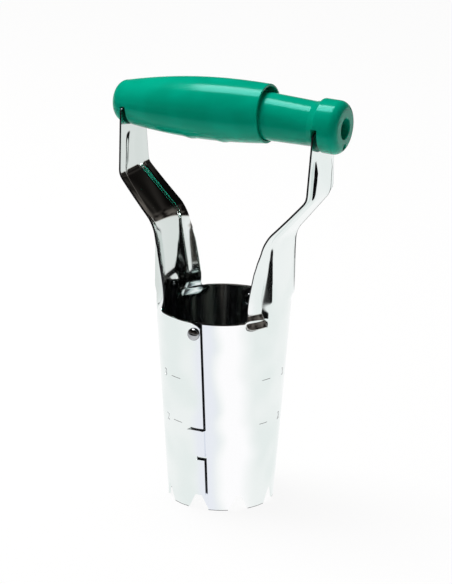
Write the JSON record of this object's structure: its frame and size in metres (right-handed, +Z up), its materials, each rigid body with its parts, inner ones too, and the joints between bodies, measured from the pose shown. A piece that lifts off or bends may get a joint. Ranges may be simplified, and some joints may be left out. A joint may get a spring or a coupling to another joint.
{
  "type": "bulb planter",
  "caption": "Hand tool for planting bulbs: a toothed steel cylinder in hinged halves that opens when the sliding green handle is squeezed.",
  "frame": {"origin": "on the ground under the middle of the whole tool's length and depth, at the height of the tooth tips", "axes": "+Z up the cylinder's axis to the handle, +X along the handle towards the thumb cap, -Y towards the front seam"},
  "size_m": [0.1288, 0.0742, 0.2247],
  "materials": {
    "plated_steel": "bright plated sheet steel, smooth, with soft rolling marks",
    "rivet_steel": "bright plated rivet, a little darker than the sheet",
    "green_plastic": "moulded, glossy, teal green",
    "spring_steel": "drawn wire, smooth"
  },
  "bodies": {
    "left_half": {"left_half_shell": "plated_steel", "front_pivot_rivet": "rivet_steel", "back_pivot_rivet": "rivet_steel"},
    "right_half": {"right_half_shell": "plated_steel"},
    "barrel": {"grip_barrel": "green_plastic", "left_arm_pin": "spring_steel", "return_spring": "spring_steel"},
    "tube": {"push_tube": "green_plastic", "right_arm_pin": "spring_steel"}
  },
  "joints": [
    {"name": "halves_hinge", "type": "hinge", "parent": "left_half", "child": "right_half", "pos_m": [-0.00203, 0, 0.0981], "axis": [0, -1, 0], "range_deg": [0, 6.5]},
    {"name": "barrel_hinge", "type": "hinge", "parent": "left_half", "child": "barrel", "pos_m": [-0.0559, 0, 0.1986], "axis": [0, -1, 0], "range_deg": [0, 3.4]},
    {"name": "tube_slide", "type": "slide", "parent": "barrel", "child": "tube", "axis": [-1, 0, 0.0093], "range_m": [0, 0.0118], "stiffness_N_per_m": 800, "springref_m": -0.01, "deforming": ["return_spring"]}
  ],
  "couplings": [
    {"joint": "barrel_hinge", "follows": "halves_hinge", "ratio": 0.4905},
    {"joint": "tube_slide", "follows": "halves_hinge", "m_per_rad": 0.101}
  ]
}
